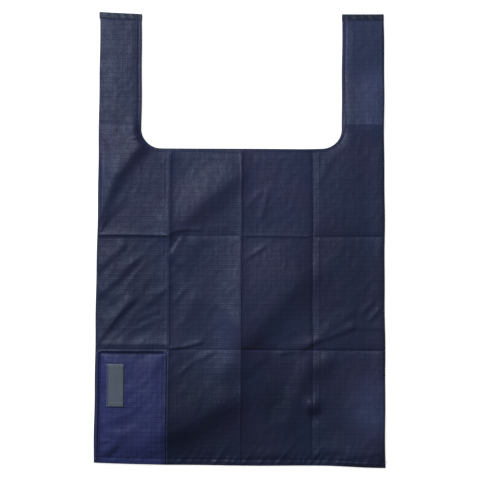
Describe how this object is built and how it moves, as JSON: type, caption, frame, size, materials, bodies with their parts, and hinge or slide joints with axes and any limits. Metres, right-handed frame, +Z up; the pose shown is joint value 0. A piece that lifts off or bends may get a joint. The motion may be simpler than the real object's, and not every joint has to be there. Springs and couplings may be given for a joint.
{
  "type": "reusable shopping bag",
  "caption": "Flat vest-shaped shopping bag of ripstop cloth with two handles, side gussets folded in, a sewn-on stow pocket and a bare woven label.",
  "frame": {"origin": "on the surface that the bag lies on, under the middle of the flat bag", "axes": "+Z up out of the front of the bag, +Y from the bottom seam towards the handle tops, X across the bag"},
  "size_m": [0.38, 0.602, 0.0065],
  "materials": {
    "body_cloth": "thin ripstop cloth with a slight sheen and fold creases",
    "pocket_cloth": "thin ripstop cloth, a bluer shade of the body",
    "label_weave": "matt woven tape"
  },
  "bodies": {
    "root": {"front_panel": "body_cloth", "back_panel": "body_cloth", "stow_pocket": "pocket_cloth", "woven_label": "label_weave"}
  },
  "joints": []
}
